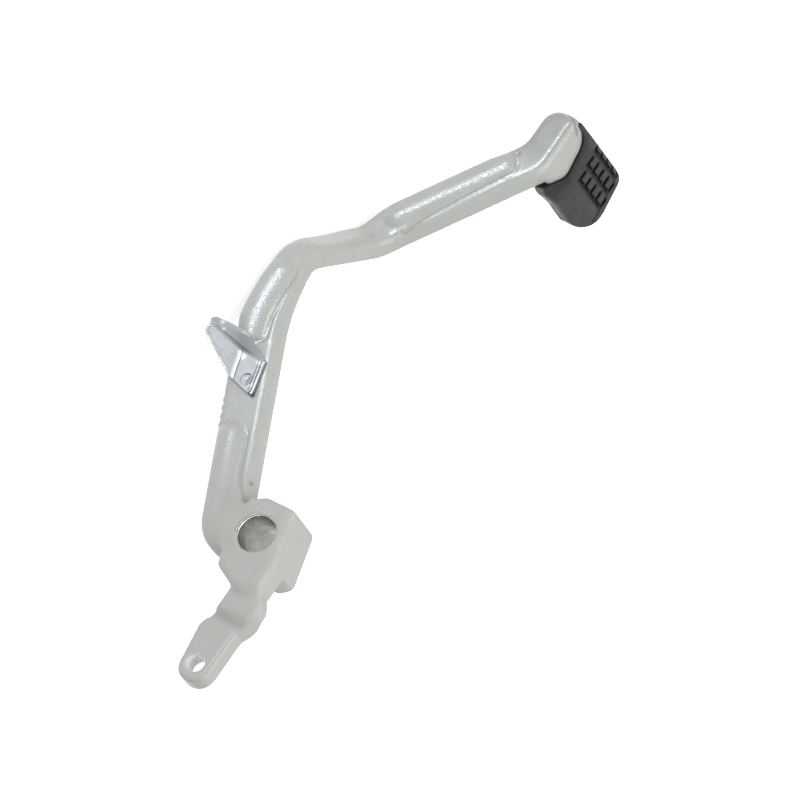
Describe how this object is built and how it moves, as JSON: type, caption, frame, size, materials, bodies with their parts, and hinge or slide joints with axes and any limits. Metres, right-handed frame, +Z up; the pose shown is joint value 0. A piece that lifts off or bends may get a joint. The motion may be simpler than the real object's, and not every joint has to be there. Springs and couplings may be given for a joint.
{
  "type": "rear brake pedal",
  "caption": "Foot brake pedal of a motorbike: a pressed steel arm with an outward jog and a rubber tread, welded to a pivot block with a rod lever, and a small plated bracket.",
  "frame": {"origin": "on the pivot axis, half way along the pivot sleeve", "axes": "+X forward along the bike, +Y to the bike's left along the pivot axis, toward the engine, and +Z up"},
  "size_m": [0.2995, 0.095, 0.0997],
  "materials": {
    "grey_paint": "gloss",
    "bare_steel": "machined",
    "zinc_plate": "bright zinc plated",
    "black_rubber": "matt"
  },
  "bodies": {
    "root": {"pedal_arm": "grey_paint", "pivot_boss": "grey_paint", "pivot_sleeve": "bare_steel", "brake_lever": "grey_paint", "stop_bracket": "zinc_plate", "bracket_rivet": "zinc_plate", "pedal_rubber": "black_rubber"}
  },
  "joints": []
}
